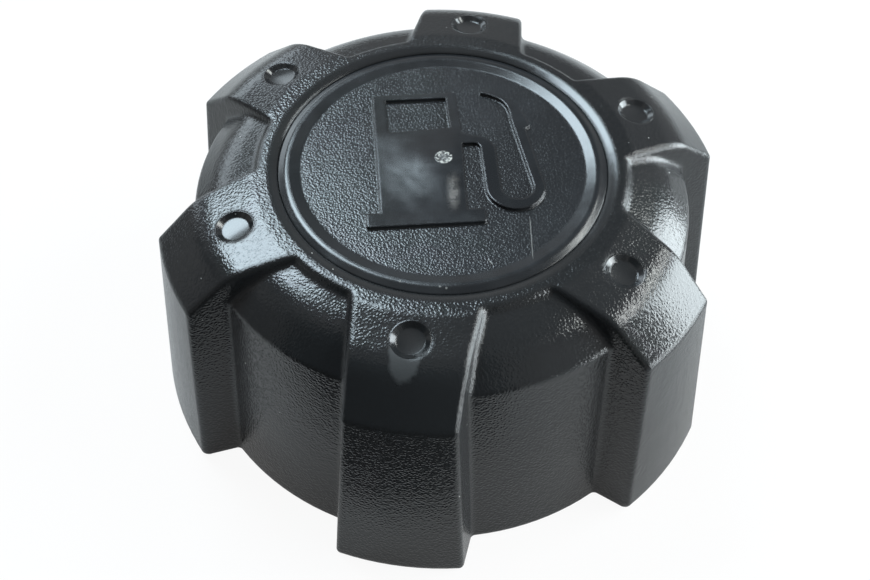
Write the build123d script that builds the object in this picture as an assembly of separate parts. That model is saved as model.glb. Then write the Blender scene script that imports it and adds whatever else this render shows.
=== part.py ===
"""Ratcheting, vented fuel filler cap with a six-lobed grip shell and an inset badge disc.

Millimetres, +Z up. The origin is the centre of the foot plane, and one lobe points along -Y.
"""
from build123d import *
from math import atan2, cos, degrees, hypot, radians, sin, sqrt, tan
import os

# ---------------------------------------------------------------- driving dimensions
LOBES = 6
HEIGHT = 40.8            # foot plane to the land round the badge
FOOT_R = 45.0            # lobe outer faces at the foot
SKIRT_FOOT_R = 39.5      # skirt between the lobes at the foot
FACE_DRAFT = 4.6         # degrees, lobe outer faces and skirt
WALL = 2.5               # shell wall
NECK_R = 30.0            # wall that carries the thread of the filler neck
RUN = 0.2                # running gap along the axis between shell and closure
FIT = 0.05               # running gap round a pin in its hole

# lobes
LOBE_HALF = 11.55        # half width of a lobe, extended to the axis, at land height
LOBE_TAPER = 0.10        # loss of half width per mm outwards
LOBE_SIDE_DRAFT = 0.06   # gain of half width per mm downwards
CREASE_DROP = 7.1        # land to the crease of a lobe
BEND_R = 36.0            # where the top of a lobe bends down
BEND_DROP = 1.5
BEND_FILLET = 8.0
EDGE_FILLET = 0.8
ROOT_FILLET = 0.9
CREASE_FILLET = 0.9
FOOT_FILLET = 1.3

# saddles between the lobes
STEP_R = 27.1
STEP_RUN = 0.25          # draft of the step's short wall
STEP_DROP = 0.95
STEP_FILLET = 1.1
SADDLE_BEND_SHARE = 0.55     # where the saddle bends, between the step and the crease
SADDLE_BEND_DROP = 2.3
SADDLE_SWEEP = 1.04      # bend radius over the run from the step to the crease
SADDLE_CREASE_DROP = 6.3

# land, recess and badge
LAND_R = 28.0
LAND_FILLET = 2.0
MOAT_R = 25.4            # outer edge of the groove round the badge
MOAT_DROP = 0.45
MOAT_EDGE = 0.8          # softness of the groove's outer edge
RECESS_R = 24.15
BADGE_GAP = 0.12
BADGE_T = 2.8            # seat of the badge to the land
ROOF_T = 2.5
SEAT_FILLET = 0.2
RIM_OUTER_R = 23.0
RIM_INNER_R = 22.35
RIM_DROP = 0.05
FIELD_R = 20.9
FIELD_DROP = 0.45
BADGE_TURN = 12.5        # degrees between the badge figure and the lobe opposite the front one
FIGURE_RISE = 0.5
PIN_R = 1.5
PIN_CIRCLE_R = 18.0

# dimples on the lobes
DIMPLE_R = 31.7
DIMPLE_MOUTH_R = 2.85
DIMPLE_FLOOR_R = 2.0
DIMPLE_DEPTH = 0.65

# fuel pump figure, in the badge's own axes with +Y up
BASE_LEFT = -11.65
BASE_RIGHT = 5.25
BASE_LOW = -11.7
BASE_TOP = -9.15
CABINET_LEFT = -9.6
CABINET_RIGHT = 3.2
CABINET_TOP = 14.6
BEND_X = 10.05           # U bend of the hose
BEND_Y = -5.4
BEND_OUTER_R = 4.27
INNER_BEND_X = 10.33
BEND_INNER_R = 2.35

# ratchet
TEETH = 24
PAWLS = 6
TOOTH_ROOT_R = 22.2
TOOTH_TIP_R = 20.6
CROWN_R = 24.6
PAWL_T = 3.0
HUB_R = 9.0
SPIGOT_R = 5.0
SPIGOT_L = 4.0
KEY_W = 3.0
KEY_H = 1.2
NOSE_GAP = 0.35

# closure and what hangs in it
CLOSURE_FOOT_Z = 2.0
CLOSURE_WALL = 3.0
CLOSURE_ROOF = 3.0
CLOSURE_TOP_GAP = 5.5    # closure roof to shell ceiling, where the ratchet lies
CLOSURE_EDGE = 1.5
THREAD_LEAD = 1.5        # height of the chamfer at the mouth of the thread wall
FLANGE_T = 2.0
FLANGE_Z = 7.8
FLANGE_GAP = 0.97        # flange to the inside of the skirt
RETAINER_T = 1.2
RETAINER_BITE = 0.75     # depth of the groove that the ring snaps into
RETAINER_LAP_GAP = 0.6   # ring to the wall of the closure
RETAINER_GAP = 14.0      # degrees left open in the split ring
GASKET_T = 2.0
GASKET_W = 5.0

# vent valve
HOUSING_R = 12.5
HOUSING_WALL = 2.0
HOUSING_L = 23.0
SEAT_DEPTH = 10.0        # closure roof to the face of the valve seat
SEAT_T = 1.5
SEAT_HOLE_R = 5.4
PLATE_R = 8.6
PLATE_T = 1.2
SEAL_T = 1.0
FILTER_T = 1.5
SPRING_SEAT_T = 1.2
POPPET_R = 4.5
POPPET_T = 1.0
STEM_R = 1.5
VACUUM_SEAL_T = 0.7
VACUUM_SPRING_L = 3.2
CLIP_T = 0.6
BALL_R = 4.0
BALL_TRAVEL = 1.8
BALL_GAP = 0.1
CAGE_WALL = 1.4
BAFFLE_T = 1.0
SCREWS = 3
SCREW_R = 1.1
SCREW_L = 8.0
SCREW_HEAD_R = 1.9
SCREW_HEAD_H = 1.2
SCREW_TIP_GAP = 1.0      # end of a screw to the end of its boss
BOSS_R = 2.7
BAFFLE_HOLE_R = 0.9

# ---------------------------------------------------------------- worked out
SEAT_Z = HEIGHT - BADGE_T
CEILING_Z = SEAT_Z - ROOF_T
FIELD_Z = HEIGHT - FIELD_DROP
CLOSURE_TOP_Z = CEILING_Z - CLOSURE_TOP_GAP
CLOSURE_ROOF_Z = CLOSURE_TOP_Z - CLOSURE_ROOF
CLOSURE_R = NECK_R + CLOSURE_WALL
PITCH_ANGLE = 360.0 / TEETH
REACH = FOOT_R + 15.0    # how far cutting tools reach past the part
SPIGOT_FOOT_Z = CEILING_Z - SPIGOT_L
HUB_TOP_Z = CEILING_Z - 1.5
RETAINER_TOP_Z = FLANGE_Z - RUN
SKIRT_SLOPE = tan(radians(FACE_DRAFT))
FLANGE_R = SKIRT_FOOT_R - FLANGE_Z * SKIRT_SLOPE - WALL - FLANGE_GAP
RETAINER_R = SKIRT_FOOT_R - RETAINER_TOP_Z * SKIRT_SLOPE - WALL + RETAINER_BITE
RETAINER_BORE_R = CLOSURE_R + RETAINER_LAP_GAP
SADDLE_CREASE_R = SKIRT_FOOT_R - (HEIGHT - SADDLE_CREASE_DROP) * SKIRT_SLOPE
SADDLE_RUN = SADDLE_CREASE_R - STEP_R
SADDLE_BEND_R = STEP_R + SADDLE_BEND_SHARE * SADDLE_RUN
HOUSING_FLANGE_Z = CLOSURE_ROOF_Z - 3.0
HOUSING_FOOT_Z = CLOSURE_ROOF_Z - HOUSING_L
SEAT_Z_VALVE = CLOSURE_ROOF_Z - SEAT_DEPTH
PLATE_Z = SEAT_Z_VALVE + SEAL_T
SPRING_SEAT_Z = CLOSURE_ROOF_Z - FILTER_T - SPRING_SEAT_T
COLLAR_R = HOUSING_R + 2.8
GROOVE_R = HOUSING_R + 1.1
ORING_R = 0.6
VENT_R = 0.9
PORT_CIRCLE_R = STEM_R + 0.9
PORT_R = 0.4
CLIP_R = STEM_R + 1.5
CAGE_TOP_Z = SEAT_Z_VALVE - SEAT_T
BALL_SEAT_R = 3.0
BALL_TOP_Z = CAGE_TOP_Z - 1.2 - sqrt(BALL_R ** 2 - BALL_SEAT_R ** 2)
BALL_Z = BALL_TOP_Z - BALL_GAP - BALL_TRAVEL
CAGE_FLOOR_Z = BALL_Z - sqrt(BALL_R ** 2 - 1.6 ** 2) - BALL_GAP
SCREW_CIRCLE_R = HOUSING_R + 0.6
RING_R = HUB_R + 4.5
ARM_R = RING_R + 4.3
ARM_T = 1.2
PAWL_ANGLE = PITCH_ANGLE * 2 + 9.0
WASHER_R = HUB_R + 5.0
WASHER_T = 0.4


def face_radius(foot_radius, z):
    """Radius of a drafted outer face at height z."""
    return foot_radius - z * SKIRT_SLOPE


# ---------------------------------------------------------------- shared shapes
def turned(*points):
    """Solid turned about Z from a closed profile of (r, z) or (r, z, corner radius)."""
    corners = [(p[0], p[1]) for p in points]
    radii = [p[2] if len(p) > 2 else 0.0 for p in points]
    with BuildPart() as part:
        with BuildSketch(Plane.XZ):
            with BuildLine():
                FilletPolyline(*corners, radius=radii, close=True)
            make_face()
        revolve(axis=Axis.Z)
    return part.part


def ring(inner_radius, outer_radius, bottom, top):
    return turned((inner_radius, bottom), (outer_radius, bottom), (outer_radius, top), (inner_radius, top))


def disc(radius, bottom, top):
    return Pos(0, 0, (bottom + top) / 2) * Cylinder(radius, top - bottom)


def around(shape, count, start=0.0):
    """Copies of a shape evenly spaced about Z."""
    return [Rot(0, 0, start + i * 360.0 / count) * shape for i in range(count)]


def polar(radius, angle):
    return (radius * cos(radians(angle)), radius * sin(radians(angle)))


def prism(sketch, bottom, top):
    return extrude(Pos(0, 0, bottom) * sketch, amount=top - bottom)


def polygon(points):
    with BuildSketch() as sketch:
        with BuildLine():
            Polyline(*points, close=True)
        make_face()
    return sketch.sketch


def coil_spring(mean_radius, wire_radius, bottom, top, turns):
    """Compression spring with ends ground flat at the two heights."""
    length = top - bottom
    path = Helix(pitch=length / turns, height=length, radius=mean_radius, center=(0, 0, bottom))
    start = path @ 0
    wire = Plane(origin=start, z_dir=path % 0) * Circle(wire_radius)
    coil = sweep(wire, path=path, is_frenet=True)
    return coil & ring(mean_radius - 2 * wire_radius, mean_radius + 2 * wire_radius, bottom, top)


# ---------------------------------------------------------------- grip shell
def beside_lobe(inset, side):
    """Everything past one flat, drafted side of the lobe that points along +X."""
    outward = (LOBE_TAPER, side, LOBE_SIDE_DRAFT)
    plane = Plane(origin=(0, side * (LOBE_HALF - inset), HEIGHT), z_dir=outward)
    return plane * Pos(0, 0, REACH) * Box(4 * REACH, 4 * REACH, 2 * REACH)


def saddle_core(inset):
    """What lies inside the saddles and the skirt; inset by the wall, it is the hollow's own core."""
    if inset:
        rim = face_radius(SKIRT_FOOT_R, SADDLE_CREASE_DROP) - inset
        return turned(
            (0, -5), (face_radius(SKIRT_FOOT_R, -5) - inset, -5),
            (face_radius(SKIRT_FOOT_R, CEILING_Z - 3) - inset, CEILING_Z - 3, 1.5),
            (rim - 5.5, CEILING_Z), (rim - 5.5, HEIGHT + 5), (0, HEIGHT + 5))
    crease_z = HEIGHT - SADDLE_CREASE_DROP
    return turned(
        (0, -5), (face_radius(SKIRT_FOOT_R, -5), -5),
        (SADDLE_CREASE_R, crease_z, CREASE_FILLET),
        (SADDLE_BEND_R, HEIGHT - SADDLE_BEND_DROP, SADDLE_SWEEP * SADDLE_RUN),
        (STEP_R + STEP_RUN, HEIGHT - STEP_DROP, STEP_FILLET),
        (STEP_R, HEIGHT), (STEP_R, HEIGHT + 5), (0, HEIGHT + 5))


def gap_tool(inset, root_fillet):
    """What is cut away between the lobe on +X and the next one round."""
    tool = disc(REACH, -5.0, HEIGHT + 5.0) - saddle_core(inset)
    tool &= beside_lobe(inset, 1)
    tool &= Rot(0, 0, 360.0 / LOBES) * beside_lobe(inset, -1)
    if not root_fillet:
        return tool
    roots = []
    for face in upright_faces(tool):
        roots += [e for e in face.edges() if hypot(e.center().X, e.center().Y) < FOOT_R - 4.0]
    return fillet(roots, root_fillet)


def upright_faces(body):
    """The flat sides of the lobes."""
    return [f for f in body.faces().filter_by(GeomType.PLANE) if abs(f.normal_at().Z) < 0.5]


def lobed_outside():
    """The shell as a solid body: drafted envelope with six gaps cut into it."""
    crease_z = HEIGHT - CREASE_DROP
    body = turned(
        (0, 0), (FOOT_R, 0, FOOT_FILLET), (face_radius(FOOT_R, crease_z), crease_z, CREASE_FILLET),
        (BEND_R, HEIGHT - BEND_DROP, BEND_FILLET), (LAND_R, HEIGHT, LAND_FILLET), (MOAT_R, HEIGHT, MOAT_EDGE),
        (RECESS_R, HEIGHT - MOAT_DROP), (RECESS_R, SEAT_Z, SEAT_FILLET), (0, SEAT_Z))
    tool = gap_tool(0.0, ROOT_FILLET)
    for gap in around(tool, LOBES):
        body -= gap
    return body


def lobed_hollow():
    """The hollow of the shell, one wall inside the lobes and the skirt."""
    body = turned(
        (0, -1), (face_radius(FOOT_R, -1) - WALL, -1),
        (face_radius(FOOT_R, CEILING_Z - 3.5) - WALL, CEILING_Z - 3.5, 1.0),
        (BEND_R + 0.6, CEILING_Z, 1.5), (0, CEILING_Z))
    tool = gap_tool(WALL, 0.0)
    for gap in around(tool, LOBES):
        body -= gap
    return body


def dimple():
    slope = degrees(atan2(BEND_DROP, BEND_R - LAND_R))
    surface_z = HEIGHT - (DIMPLE_R - LAND_R) * tan(radians(slope))
    over = 0.4
    spread = over * (DIMPLE_MOUTH_R - DIMPLE_FLOOR_R) / DIMPLE_DEPTH
    pit = Pos(0, 0, (over - DIMPLE_DEPTH) / 2) * Cone(
        DIMPLE_FLOOR_R, DIMPLE_MOUTH_R + spread, DIMPLE_DEPTH + over)
    return Pos(DIMPLE_R, 0, surface_z) * Rot(0, slope, 0) * pit


def tooth_crown():
    """Inward saw teeth on a short wall below the ceiling, steep face in the unscrewing direction."""
    points = []
    for i in range(TEETH):
        start = i * PITCH_ANGLE
        points.append(polar(TOOTH_ROOT_R, start))
        points.append(polar(TOOTH_ROOT_R, start + PITCH_ANGLE * 0.25))
        points.append(polar(TOOTH_TIP_R, start + PITCH_ANGLE * 0.88))
        points.append(polar(TOOTH_TIP_R, start + PITCH_ANGLE * 0.94))
    crown = Circle(CROWN_R) - polygon(points)
    return prism(crown, CLOSURE_TOP_Z + 1.0, CEILING_Z + 0.5)


def long_lobe_edges(body):
    """The upright outer corners of the lobes; the rest of each chain is tangent to them."""
    edges = []
    for edge in body.edges():
        radius = hypot(edge.center().X, edge.center().Y)
        if edge.length > 0.8 * (HEIGHT - CREASE_DROP) and radius > FOOT_R - 3.0:
            edges.append(edge)
    return edges


def pins(bottom, top, start):
    """Three pins below the badge, or the holes for them."""
    pin = Pos(PIN_CIRCLE_R, 0, (bottom + top) / 2) * Cylinder(PIN_R, top - bottom)
    return around(pin, 3, start)


def grip_shell():
    outside = lobed_outside()
    outside = fillet(long_lobe_edges(outside), EDGE_FILLET)
    body = outside - lobed_hollow()
    for pit in around(dimple(), LOBES):
        body -= pit
    body += tooth_crown()
    body += disc(SPIGOT_R, CEILING_Z - SPIGOT_L, CEILING_Z + 0.5)
    body -= ring(NECK_R, RETAINER_R, RETAINER_TOP_Z - RETAINER_T, RETAINER_TOP_Z)
    for hole in pins(CEILING_Z - 1, SEAT_Z + 1, BADGE_TURN):
        body -= hole
    return facing_front(body)


def facing_front(body):
    """Turns a lobe from +X to -Y."""
    return Rot(0, 0, -90) * body


# ---------------------------------------------------------------- badge
def pump_figure():
    """Fuel pump figure, in the badge's own axes with +Y up."""
    base = Pos((BASE_LEFT + BASE_RIGHT) / 2, (BASE_LOW + BASE_TOP) / 2) * RectangleRounded(
        BASE_RIGHT - BASE_LEFT, BASE_TOP - BASE_LOW, 0.3)
    cabinet = polygon([
        (CABINET_LEFT, BASE_TOP - 0.3), (CABINET_RIGHT - 0.5, BASE_TOP - 0.3), (CABINET_RIGHT, 4.5),
        (CABINET_RIGHT, 6.4), (CABINET_RIGHT - 0.2, CABINET_TOP), (CABINET_LEFT, CABINET_TOP)])
    window = polygon([(-7.6, 6.7), (1.7, 7.1), (1.5, 13.5), (-7.7, 13.5)])
    return base + cabinet + hose_and_nozzle() - window


def hose_and_nozzle():
    """Hose from the cabinet's side round its U bend to the nozzle hung beside it."""
    outer_end = (BEND_X + BEND_OUTER_R, BEND_Y)
    inner_end = (INNER_BEND_X + BEND_INNER_R, BEND_Y)
    left_outer = BEND_X - BEND_OUTER_R
    left_inner = INNER_BEND_X - BEND_INNER_R
    elbow = (left_inner - 3.0, 2.2)
    with BuildSketch() as sketch:
        with BuildLine():
            Polyline((2.0, 3.8), (left_outer - 1.1, 3.8))
            TangentArc((left_outer - 1.1, 3.8), (left_outer, 2.7), tangent=(1, 0))
            Line((left_outer, 2.7), (left_outer, BEND_Y))
            ThreePointArc((left_outer, BEND_Y), (BEND_X, BEND_Y - BEND_OUTER_R), outer_end)
            Line(outer_end, (12.85, 6.3))
            Line((12.85, 6.3), (13.6, 6.7))
            Spline((13.6, 6.7), (13.0, 9.2), (11.7, 11.9), (9.6, 13.7), (7.0, 14.7))
            Line((7.0, 14.7), (6.9, 14.2))
            Spline((6.9, 14.2), (8.7, 13.4), (10.2, 12.0), (10.8, 10.2), (10.9, 8.3))
            Line((10.9, 8.3), inner_end)
            ThreePointArc(inner_end, (INNER_BEND_X, BEND_Y - BEND_INNER_R), (left_inner, BEND_Y))
            Line((left_inner, BEND_Y), (left_inner, elbow[1]))
            TangentArc((left_inner, elbow[1]), (elbow[0], elbow[1] + 3.0), tangent=(0, 1))
            Polyline((elbow[0], elbow[1] + 3.0), (2.0, 6.6), (2.0, 3.8))
        make_face()
    return sketch.sketch


def badge_disc():
    edge_r = RECESS_R - BADGE_GAP
    body = turned(
        (0, SEAT_Z), (edge_r, SEAT_Z, SEAT_FILLET), (edge_r, HEIGHT - MOAT_DROP - RIM_DROP),
        (RIM_OUTER_R, HEIGHT - RIM_DROP, 0.8), (RIM_INNER_R, HEIGHT - RIM_DROP, 0.3),
        (FIELD_R, FIELD_Z, 0.8), (0, FIELD_Z))
    body += prism(pump_figure(), FIELD_Z - 0.3, FIELD_Z + FIGURE_RISE)
    for pin in pins(CEILING_Z + 0.2, SEAT_Z + 0.5, -90):
        body += pin
    return Rot(0, 0, BADGE_TURN) * body


# ---------------------------------------------------------------- closure and ratchet
def key_solids(gap):
    """Six keys on the hub; with a gap, the slots that fit over them."""
    reach = HUB_R + KEY_H + gap
    key = Pos(reach / 2, 0, CLOSURE_TOP_Z + PAWL_T / 2) * Box(reach, KEY_W + 2 * gap, PAWL_T)
    return around(key, PAWLS, 180.0 / PAWLS)


def closure_body():
    """Inner cap: thread wall, roof with the hub above it and the housing's collar below it."""
    body = turned(
        (NECK_R, CLOSURE_FOOT_Z + THREAD_LEAD), (NECK_R + 1.2, CLOSURE_FOOT_Z), (CLOSURE_R, CLOSURE_FOOT_Z),
        (CLOSURE_R, FLANGE_Z), (FLANGE_R, FLANGE_Z), (FLANGE_R, FLANGE_Z + FLANGE_T),
        (CLOSURE_R, FLANGE_Z + FLANGE_T), (CLOSURE_R, CLOSURE_TOP_Z, CLOSURE_EDGE), (0, CLOSURE_TOP_Z),
        (0, CLOSURE_ROOF_Z), (NECK_R, CLOSURE_ROOF_Z))
    body += disc(HUB_R, CLOSURE_TOP_Z - 1, HUB_TOP_Z)
    for key in key_solids(0.0):
        body += key
    body -= disc(SPIGOT_R + FIT, SPIGOT_FOOT_Z - RUN, HUB_TOP_Z + 1)
    body += ring(COLLAR_R, COLLAR_R + 1.8, CLOSURE_ROOF_Z - FLANGE_T - 2.2, CLOSURE_ROOF_Z + 0.5)
    body += turned(
        (COLLAR_R - 0.4, HOUSING_FLANGE_Z - 0.9), (COLLAR_R + 0.5, HOUSING_FLANGE_Z - 1.8),
        (COLLAR_R + 0.5, HOUSING_FLANGE_Z), (COLLAR_R - 0.4, HOUSING_FLANGE_Z))
    vent = Pos((SPIGOT_R + FIT + HUB_R) / 2, 0, CLOSURE_ROOF_Z) * Cylinder(VENT_R, 4 * CLOSURE_ROOF)
    for hole in around(vent, 6):
        body -= hole
    return body


def ratchet_ring():
    """Six curved spring pawls on a ring that is keyed to the closure's hub."""
    bottom = CLOSURE_TOP_Z
    top = CLOSURE_TOP_Z + PAWL_T
    body = ring(HUB_R + FIT, RING_R, bottom, top)
    for slot in key_solids(FIT):
        body -= slot
    pawl = prism(pawl_outline(), bottom + 1.0 + RUN, top)
    for arm in around(pawl, PAWLS):
        body += arm
    return body


def pawl_outline():
    """A post on the ring, an arm along it and a nose in a tooth gap."""
    arm_outer = [polar(ARM_R, a) for a in (-4, PAWL_ANGLE / 2, PAWL_ANGLE)]
    arm_inner = [polar(ARM_R - ARM_T, a) for a in (PAWL_ANGLE, PAWL_ANGLE / 2, -4)]
    with BuildSketch() as arm:
        with BuildLine():
            ThreePointArc(*arm_outer)
            Line(arm_outer[2], arm_inner[0])
            ThreePointArc(*arm_inner)
            Line(arm_inner[2], arm_outer[0])
        make_face()
    post = polygon([polar(RING_R - 1, -4), polar(ARM_R, -4), polar(ARM_R - 0.3, 5), polar(RING_R - 1, 5)])
    valley = 2 * PITCH_ANGLE
    nose_r = TOOTH_ROOT_R - NOSE_GAP
    nose = polygon([
        polar(ARM_R - ARM_T / 2, valley + 1.0), polar(ARM_R - ARM_T / 2, PAWL_ANGLE),
        polar(nose_r, valley + 3.4), polar(nose_r, valley + 1.2)])
    return arm.sketch + post + nose


def spring_washer():
    """Curved washer between the ratchet ring and the ceiling, bent about the Y axis."""
    low = CLOSURE_TOP_Z + PAWL_T
    high = CEILING_Z - RUN
    rise = high - low - WASHER_T
    reach = WASHER_R + 1.0
    radius = (reach ** 2 + rise ** 2) / (2 * rise)
    crest = Pos(0, 0, high - radius) * Rot(90, 0, 0) * Cylinder(radius, 4 * WASHER_R)
    inside = Pos(0, 0, high - radius) * Rot(90, 0, 0) * Cylinder(radius - WASHER_T, 4 * WASHER_R)
    return (crest - inside) & ring(HUB_R + 0.6, WASHER_R, low, high + 1)


def retaining_ring():
    bottom = RETAINER_TOP_Z - RETAINER_T
    body = ring(RETAINER_BORE_R, RETAINER_R, bottom, RETAINER_TOP_Z)
    half = RETAINER_GAP / 2
    gap = polygon([(0, 0), polar(FOOT_R, -half), polar(FOOT_R, half)])
    body -= prism(gap, bottom - 1, RETAINER_TOP_Z + 1)
    return Rot(0, 0, 90) * body


def neck_gasket():
    return ring(NECK_R - GASKET_W, NECK_R, CLOSURE_ROOF_Z - GASKET_T, CLOSURE_ROOF_Z)


# ---------------------------------------------------------------- vent valve
def valve_housing():
    """Cup below the roof: flange under the collar, valve seat, screw bosses at its foot."""
    bore = HOUSING_R - HOUSING_WALL
    body = turned(
        (SEAT_HOLE_R, SEAT_Z_VALVE - SEAT_T), (bore, SEAT_Z_VALVE - SEAT_T), (bore, HOUSING_FOOT_Z),
        (HOUSING_R, HOUSING_FOOT_Z), (HOUSING_R, HOUSING_FLANGE_Z), (COLLAR_R - FIT, HOUSING_FLANGE_Z),
        (COLLAR_R - FIT, CLOSURE_ROOF_Z), (bore, CLOSURE_ROOF_Z), (bore, SEAT_Z_VALVE),
        (SEAT_HOLE_R, SEAT_Z_VALVE))
    body -= ring(GROOVE_R - ORING_R, GROOVE_R + ORING_R, CLOSURE_ROOF_Z - 2 * ORING_R, CLOSURE_ROOF_Z + 1)
    boss = Pos(SCREW_CIRCLE_R, 0, HOUSING_FOOT_Z + SCREW_L / 2) * Cylinder(BOSS_R, SCREW_L)
    for post in around(boss, SCREWS, 90):
        body += post - disc(HOUSING_R - HOUSING_WALL / 2, HOUSING_FOOT_Z - 1, HOUSING_FOOT_Z + SCREW_L + 1)
    for hole in around(screw_shank(), SCREWS, 90):
        body -= hole
    return body


def screw_shank():
    length = SCREW_L - BAFFLE_T - SCREW_TIP_GAP
    return Pos(SCREW_CIRCLE_R, 0, HOUSING_FOOT_Z + length / 2) * Cylinder(SCREW_R, length)


def housing_seal():
    """O-ring in the groove of the housing's top, just under the roof."""
    return Pos(0, 0, CLOSURE_ROOF_Z - ORING_R) * Torus(GROOVE_R, ORING_R - 0.01)


def pressure_seal():
    return ring(SEAT_HOLE_R + 0.4, PLATE_R - 0.8, SEAT_Z_VALVE, PLATE_Z)


def pressure_plate():
    """Lifts off its seat; carries the poppet in its middle."""
    body = turned(
        (0, PLATE_Z), (PLATE_R, PLATE_Z, 0.2), (PLATE_R, PLATE_Z + PLATE_T, 0.3),
        (PLATE_R - 3.4, PLATE_Z + PLATE_T), (PLATE_R - 3.4, PLATE_Z + PLATE_T + 1.0, 0.3),
        (PLATE_R - 4.2, PLATE_Z + PLATE_T + 1.0), (PLATE_R - 4.2, PLATE_Z + PLATE_T), (0, PLATE_Z + PLATE_T))
    body -= disc(STEM_R + FIT, PLATE_Z - 1, PLATE_Z + PLATE_T + 2)
    port = Pos(PORT_CIRCLE_R, 0, PLATE_Z + PLATE_T / 2) * Cylinder(PORT_R, 2 * PLATE_T)
    for hole in around(port, 6):
        body -= hole
    return body


def pressure_spring():
    return coil_spring(6.2, 0.4, PLATE_Z + PLATE_T, SPRING_SEAT_Z, 3.5)


def spring_seat():
    """Perforated disc that carries the upper end of the pressure spring."""
    radius = HOUSING_R - HOUSING_WALL - FIT
    body = ring(CLIP_R + 0.6, radius, SPRING_SEAT_Z, SPRING_SEAT_Z + SPRING_SEAT_T)
    hole = Pos(8.4, 0, SPRING_SEAT_Z) * Cylinder(1.0, 4 * SPRING_SEAT_T)
    for port in around(hole, 8):
        body -= port
    return body


def vent_filter():
    return disc(HOUSING_R - HOUSING_WALL - FIT, CLOSURE_ROOF_Z - FILTER_T, CLOSURE_ROOF_Z)


def vacuum_seal():
    return ring(PORT_CIRCLE_R + PORT_R + 0.2, POPPET_R - 0.1, PLATE_Z - VACUUM_SEAL_T, PLATE_Z)


def vacuum_poppet():
    """Head below the plate, stem up through it, with a groove for the clip."""
    head_top = PLATE_Z - VACUUM_SEAL_T
    clip_z = PLATE_Z + PLATE_T + VACUUM_SPRING_L
    return turned(
        (0, head_top - POPPET_T), (POPPET_R, head_top - POPPET_T, 0.3), (POPPET_R, head_top),
        (STEM_R, head_top), (STEM_R, clip_z), (STEM_R - 0.3, clip_z), (STEM_R - 0.3, clip_z + CLIP_T),
        (STEM_R, clip_z + CLIP_T), (STEM_R, clip_z + CLIP_T + 0.6, 0.3), (0, clip_z + CLIP_T + 0.6))


def vacuum_spring():
    bottom = PLATE_Z + PLATE_T
    return coil_spring(2.3, 0.22, bottom, bottom + VACUUM_SPRING_L, 4.5)


def vacuum_clip():
    """Push-on clip with three slots round the stem."""
    bottom = PLATE_Z + PLATE_T + VACUUM_SPRING_L
    body = ring(STEM_R - 0.3, CLIP_R, bottom, bottom + CLIP_T)
    slot = Pos(STEM_R, 0, bottom) * Box(1.2, 0.5, 4 * CLIP_T)
    for cut in around(slot, 3):
        body -= cut
    return body


def ball_cage():
    """Slotted tube below the valve seat, closed by a web that the ball rests on."""
    bore = BALL_R + 0.3
    outer = bore + CAGE_WALL
    body = turned(
        (BALL_SEAT_R, CAGE_TOP_Z - 1.2), (bore, CAGE_TOP_Z - 1.2), (bore, CAGE_FLOOR_Z),
        (1.6, CAGE_FLOOR_Z), (1.6, CAGE_FLOOR_Z - 0.9), (outer, CAGE_FLOOR_Z - 0.9), (outer, CAGE_TOP_Z - 1.2),
        (HOUSING_R - HOUSING_WALL - FIT, CAGE_TOP_Z - 1.2), (HOUSING_R - HOUSING_WALL - FIT, CAGE_TOP_Z),
        (BALL_SEAT_R, CAGE_TOP_Z))
    slot_h = CAGE_TOP_Z - 1.2 - CAGE_FLOOR_Z - 2.0
    slot = Pos(outer, 0, CAGE_FLOOR_Z + slot_h / 2) * Box(2 * outer, 2.0, slot_h)
    for cut in around(slot, 4, 45):
        body -= cut
    return body


def rollover_ball():
    return Pos(0, 0, BALL_Z) * Sphere(BALL_R)


def splash_baffle():
    body = disc(HOUSING_R, HOUSING_FOOT_Z - BAFFLE_T, HOUSING_FOOT_Z)
    ear = Pos(SCREW_CIRCLE_R, 0, HOUSING_FOOT_Z - BAFFLE_T / 2) * Cylinder(BOSS_R, BAFFLE_T)
    for lug in around(ear, SCREWS, 90):
        body += lug
    screw_hole = Pos(SCREW_CIRCLE_R, 0, HOUSING_FOOT_Z) * Cylinder(SCREW_R, 4 * BAFFLE_T)
    for hole in around(screw_hole, SCREWS, 90):
        body -= hole
    for circle_r, count in ((8.6, 12), (5.2, 8)):
        hole = Pos(circle_r, 0, HOUSING_FOOT_Z) * Cylinder(BAFFLE_HOLE_R, 4 * BAFFLE_T)
        for port in around(hole, count, 15):
            body -= port
    return body


def baffle_screws():
    """Three pan-head screws; their threads cut their own way into the bosses."""
    under = HOUSING_FOOT_Z - BAFFLE_T
    tip = HOUSING_FOOT_Z + SCREW_L - BAFFLE_T - SCREW_TIP_GAP
    screw = turned(
        (0, under - SCREW_HEAD_H), (SCREW_HEAD_R, under - SCREW_HEAD_H, 0.4), (SCREW_HEAD_R, under),
        (SCREW_R, under), (SCREW_R, tip - 0.6), (SCREW_R - 0.5, tip), (0, tip))
    for angle in (0, 90):
        screw -= Pos(0, 0, under - SCREW_HEAD_H) * Rot(0, 0, angle) * Box(2.2, 0.5, 1.4)
    return Compound(around(Pos(SCREW_CIRCLE_R, 0, 0) * screw, SCREWS, 90))


# ---------------------------------------------------------------- write the parts
PIECES = {
    "grip_shell": grip_shell,
    "badge_disc": badge_disc,
    "closure_body": closure_body,
    "ratchet_ring": ratchet_ring,
    "spring_washer": spring_washer,
    "retaining_ring": retaining_ring,
    "neck_gasket": neck_gasket,
    "valve_housing": valve_housing,
    "housing_seal": housing_seal,
    "pressure_seal": pressure_seal,
    "pressure_plate": pressure_plate,
    "pressure_spring": pressure_spring,
    "spring_seat": spring_seat,
    "vent_filter": vent_filter,
    "vacuum_seal": vacuum_seal,
    "vacuum_poppet": vacuum_poppet,
    "vacuum_spring": vacuum_spring,
    "vacuum_clip": vacuum_clip,
    "ball_cage": ball_cage,
    "rollover_ball": rollover_ball,
    "splash_baffle": splash_baffle,
    "baffle_screws": baffle_screws,
}

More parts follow.
